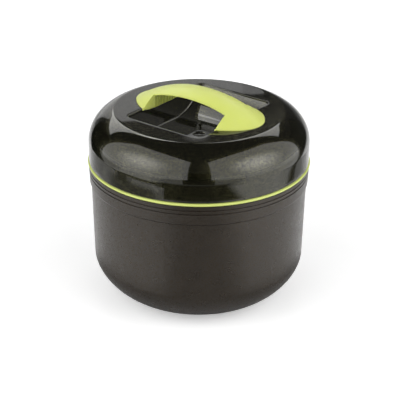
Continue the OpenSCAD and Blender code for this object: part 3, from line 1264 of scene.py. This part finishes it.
    def build_ribs(self) -> bpy.types.Object:
        """Build the upright ribs on the inner faces of the pads.

        Returns:
            The ribs, as one piece.
        """
        draft = Draft()
        count = int(self.rib_half_run / self.rib_pitch)
        front, back = self.inner_u - self.rib_out, self.inner_u + self.edge
        root = self.rib_w / 2
        tip = root * self.rib_taper
        high = self.underside(self.inner_u) - self.edge
        for turn in (1, -1):
            for number in range(-count, count + 1):
                v = number * self.rib_pitch
                low = self.apron_z(v) + self.edge
                plan = [(front, v - tip), (front, v + tip), (back, v + root), (back, v - root)]
                draft.prism([(turn * x, y) for x, y in plan], low, high)
        return draft.make("grip_ribs")

    def build(self) -> None:
        """Build and dress the pieces of the handle."""
        settle(self.build_grip(), LIME_PLASTIC, Body.LID, "handle")
        settle(self.build_ribs(), LIME_PLASTIC, Body.LID)
        keep({"handle_screws": SCREW_STEEL})


@dataclass(frozen=True)
class Panel:
    """A soft light panel, placed by its bearing from the camera's line of sight.

    It may be brighter round its heart, and may end at a slanted cut.
    """

    name: str
    bearing: float
    width: float
    low: float
    high: float
    distance: float
    radiance: float
    upright: bool = True
    roll: float = 0.0
    glow: float = 0.0
    heart: Spot = (0.0, 0.0)
    reach: float = 1.0
    cut_deg: float = 0.0
    cut_at: float = 9.0
    cut_soft: float = 0.006

    def build(self, view: "Viewpoint") -> None:
        """Hang the panel.

        Args:
            view: The viewpoint that bearings are taken from.
        """
        out = view.towards(self.bearing) * self.distance
        data = bpy.data.lights.new(self.name, "AREA")
        data.shape = "RECTANGLE"
        data.size = self.width
        data.size_y = self.high - self.low
        # This power gives a radiance of 1, which the panel's shade then multiplies.
        data.energy = math.pi * data.size * data.size_y
        lamp = place_new(self.name, data)
        lamp.location = out + Vector((0.0, 0.0, (self.low + self.high) / 2))
        aim(lamp, -out if self.upright else Vector((0.0, 0.0, view.target_z)) - lamp.location, self.roll)
        lamp.visible_camera = False
        across = Vector((-out.y, out.x, 0.0)).normalized() * self.heart[0]
        cut = math.radians(self.cut_deg)
        slant = lamp.rotation_quaternion @ Vector((math.cos(cut), math.sin(cut), 0.0))
        edge = slant.dot(lamp.location) + self.cut_at
        self.shade(data, out + across + Vector((0.0, 0.0, self.heart[1])), slant, edge)

    def shade(self, data: bpy.types.Light, heart: Vector, slant: Vector, edge: float) -> None:
        """Let the panel be brightest round its heart and end at its cut.

        Args:
            data: The lamp's data.
            heart: Place of the heart.
            slant: Direction across the cut, towards its dark side.
            edge: Place of the cut along that direction.
        """
        data.use_nodes = True
        board = NodeBoard(data.node_tree)
        place = board.add("ShaderNodeNewGeometry").outputs["Position"]
        away = board.vector("DISTANCE", place, heart).outputs["Value"]
        along = board.vector("DOT_PRODUCT", place, slant).outputs["Value"]
        glow = board.span(away, (0.0, self.reach), (self.radiance + self.glow, self.radiance), "SMOOTHSTEP")
        kept = board.span(along, around(edge, self.cut_soft), (1.0, 0.0), "SMOOTHSTEP")
        board.wire(board.sum("MULTIPLY", glow, kept), board.tree.nodes["Emission"].inputs["Strength"])


@dataclass(frozen=True)
class Card:
    """A card laid round the part, which shows only in glossy surfaces and may fade out at its edges: a
    painted dark reflection, which casts no shadow, gives no light and is not seen by the camera.

    Each row has a radius and its first and last bearing. A card that stands up at its last radius has the
    height and the bearings of its upper edge as well.
    """

    name: str
    rows: tuple[Point, ...]
    tone: float = 0.02
    lay: float = 0.001
    stand: Point | None = None
    fade_r: float = 0.0
    fade_deg: float = 0.0
    steps: int = 16

    def faded_rows(self) -> list[tuple[float, ...]]:
        """Rows of the card, where faded edges have rows of their own.

        Returns:
            Radius, height, first and last bearing and share of cover of each row.
        """
        rows = [(r, self.lay, first, last, 1.0) for r, first, last in self.rows]
        if self.stand:
            rows.append((rows[-1][0], *self.stand, 1.0))
        if self.fade_r:
            near, far, soft = rows[0], rows[-1], self.fade_r / 2
            rows[0], rows[-1] = (near[0] + soft, *near[1:]), (far[0] - soft, *far[1:])
            rows = [(near[0] - soft, *near[1:4], 0.0), *rows, (far[0] + soft, *far[1:4], 0.0)]
        return rows

    def build(self, view: "Viewpoint") -> None:
        """Set the card up.

        Args:
            view: The viewpoint that bearings are taken from.
        """
        draft = Draft()
        loops, covers = [], []
        for r, z, first, last, cover in self.faded_rows():
            soft = math.copysign(self.fade_deg / 2, last - first)
            span = last - first - 2 * soft
            stops = [(first + soft + span * i / self.steps, cover) for i in range(self.steps + 1)]
            if self.fade_deg:
                stops = [(first - soft, 0.0), *stops, (last + soft, 0.0)]
            spots = [view.towards(bearing) * r for bearing, _ in stops]
            loops.append(draft.loop([(spot.x, spot.y, z) for spot in spots]))
            covers += [share for _, share in stops]
        draft.chain(loops, closed=False)
        card = draft.make(self.name)
        card.data.attributes.new("cover", "FLOAT", "POINT").data.foreach_set("value", covers)
        paint(card, StudioPaper(self.name, (self.tone, self.tone, self.tone), cover="cover"))
        # Shown to glossy rays alone: the card paints a dark reflection, with no shadow or light of its own.
        card.visible_camera = False
        card.visible_diffuse = False
        card.visible_shadow = False


@dataclass
class Viewpoint:
    """Camera of the photograph, as found from the outline, the seam and the trough."""

    azimuth: float = 37.0
    elevation: float = 25.91
    distance: float = 1.096
    target_z: float = 0.0801
    focal_px: float = 1253.6
    image_px: float = 400.0
    axis_px: float = 198.7
    roll: float = 0.42
    sensor: float = 36.0
    nearest: float = 0.01

    def towards(self, bearing: float) -> Vector:
        """Level direction of a bearing, counted from the line of sight in degrees."""
        angle = math.radians(self.azimuth + 180 - bearing)
        return Vector((math.sin(angle), -math.cos(angle), 0.0))

    def build(self) -> None:
        """Make the camera and hand it to the scene."""
        turn, tilt = math.radians(self.azimuth), math.radians(self.elevation)
        back = Vector((math.sin(turn) * math.cos(tilt), -math.cos(turn) * math.cos(tilt), math.sin(tilt)))
        data = bpy.data.cameras.new("viewpoint")
        data.sensor_width = self.sensor
        data.lens = self.sensor * self.focal_px / self.image_px
        data.shift_x = (self.image_px / 2 - self.axis_px) / self.image_px
        data.clip_start = self.nearest
        camera = place_new("viewpoint", data)
        camera.location = Vector((0.0, 0.0, self.target_z)) + back * self.distance
        aim(camera, -back, self.roll)
        bpy.context.scene.camera = camera


@dataclass
class Studio:
    """Pale floor, dim room, soft light panels, and the cards that paint dark reflections into the gloss."""

    view: Viewpoint = field(default_factory=Viewpoint)
    floor_r: float = 4.6
    floor_drop: float = 0.0002
    floor_sides: int = 96
    horizon: float = 0.2
    horizon_z: Spot = (0.04, 0.15)
    room: float = 0.05
    panels: tuple[Panel, ...] = (
        Panel("panel_left", bearing=-118, width=1.76, low=0.0, high=1.54, distance=0.70, radiance=1.25,
              glow=2.4, heart=(0.03, 0.48), reach=0.5, cut_deg=180, cut_at=0.745),
        Panel("panel_right", bearing=117, width=1.76, low=0.0, high=1.54, distance=0.70, radiance=1.25,
              glow=2.7, heart=(-0.03, 0.48), reach=0.5),
        Panel("strip_left", bearing=-38, width=0.49, low=0.368, high=0.652, distance=0.44, radiance=1.9,
              upright=False, roll=12, cut_deg=42, cut_at=0.036),
        Panel("strip_right", bearing=31, width=0.45, low=0.437, high=0.637, distance=0.395, radiance=1.8,
              upright=False, roll=-22, cut_deg=135, cut_at=0.058),
        Panel("strip_near", bearing=-29, width=0.10, low=0.302, high=0.348, distance=0.147, radiance=1.9,
              upright=False, roll=24),
        Panel("back_glow", bearing=-12, width=1.38, low=0.05, high=1.25, distance=2.6, radiance=0.7),
        Panel("back_glow_low", bearing=-12, width=1.52, low=0.05, high=1.19, distance=2.6, radiance=0.55),
        Panel("back_spot", bearing=-0.2, width=0.15, low=1.2, high=1.32, distance=2.6, radiance=0.0,
              glow=1.1, heart=(0.0, 1.26), reach=0.065),
    )
    # Painted dark reflections, seen only in the gloss of the lid and the pot.
    cards: tuple[Card, ...] = (
        Card("card_floor", ((0.384, -142, -218), (2.4, -142, -218)), tone=0.65, lay=0.0004, fade_deg=16),
        # card_foot and card_near paint a darker floor near the foot into the pot's reflection: painted
        # contact shadow.
        Card("card_foot", ((0.06, -60, -300), (0.14, -60, -300)), tone=0.5, lay=0.0006, fade_deg=50),
        Card("card_near", ((0.10, -150, -210), (0.335, -150, -210)), tone=0.5, lay=0.0008, fade_deg=24),
        Card("card_front", ((0.335, -143, -220), (0.394, -143, -207)), fade_r=0.012, fade_deg=9),
        Card("card_gap", ((0.394, -166, -194), (0.9, -165, -195), (1.6, -165, -195)),
             stand=(0.6, -165, -195)),
        Card("card_ring", ((0.373, -147, -76), (0.384, -147, -74)), lay=0.0014, fade_r=0.007, fade_deg=12),
        Card("card_skirt", ((0.31, -143, -86), (0.363, -143, -86)), tone=0.2, fade_r=0.02, fade_deg=12),
        Card("card_dusk", ((0.348, -97, -113), (0.382, -97, -113)), tone=0.1, lay=0.0016, fade_r=0.014,
             fade_deg=9),
        Card("card_left", ((0.42, -80, -50), (1.2, -66, -37)), stand=(0.7, -65, -35)),
        Card("card_rim_left", ((0.317, -48, -90), (0.40, -48, -90)), tone=0.54, lay=0.0012, fade_r=0.012,
             fade_deg=30),
        Card("card_bend", ((0.40, -62, -98), (1.6, -62, -98)), tone=0.75, lay=0.0006, fade_deg=12),
        Card("card_rim_right", ((0.317, 50, 90), (0.40, 50, 90)), tone=0.5, lay=0.0008, fade_r=0.012,
             fade_deg=30),
        Card("card_right", ((0.325, 78, 90), (0.345, 76, 86.5), (0.358, 74, 83.5), (0.375, 70, 77.5),
                            (0.42, 64.5, 74), (0.47, 60, 71.5), (0.56, 55.5, 68.5), (0.62, 52, 67.5),
                            (1.2, 35, 63)), tone=0.05, stand=(0.7, 27, 60), fade_deg=5),
    )

    def build_room(self) -> None:
        """Make the room white where it is seen, and dim for the light that it gives."""
        world = bpy.data.worlds.new("studio")
        bpy.context.scene.world = world
        world.use_nodes = True
        board = NodeBoard(world.node_tree)
        board.tree.nodes.clear()
        height = board.parts(board.add("ShaderNodeTexCoord").outputs["Generated"])["Z"]
        given = board.span(height, self.horizon_z, (self.horizon, self.room))
        seen = board.add("ShaderNodeLightPath").outputs["Is Camera Ray"]
        sky = board.add("ShaderNodeBackground")
        board.wire((1.0, 1.0, 1.0, 1.0), sky.inputs["Color"])
        board.wire(board.sum("MAXIMUM", given, seen), sky.inputs["Strength"])
        board.wire(sky.outputs[0], board.add("ShaderNodeOutputWorld").inputs["Surface"])

    def build(self) -> None:
        """Set up camera, room, floor, panels and cards."""
        bpy.context.scene.view_settings.view_transform = "Standard"
        self.view.build()
        self.build_room()
        draft = Draft()
        draft.face(draft.loop(circle(self.floor_r, -self.floor_drop, self.floor_sides)))
        floor = draft.make("floor")
        paint(floor, WHITE_PAPER)
        for light in self.panels + self.cards:
            light.build(self.view)


def main() -> None:
    """Build the studio and the box, sub-assembly by sub-assembly."""
    logging.basicConfig(level=logging.INFO, format="%(name)s %(message)s")
    Studio().build()
    Pot().build()
    Seal().build()
    handle = Handle()
    Lid().build(handle)
    handle.build()


if __name__ == "__main__":
    main()
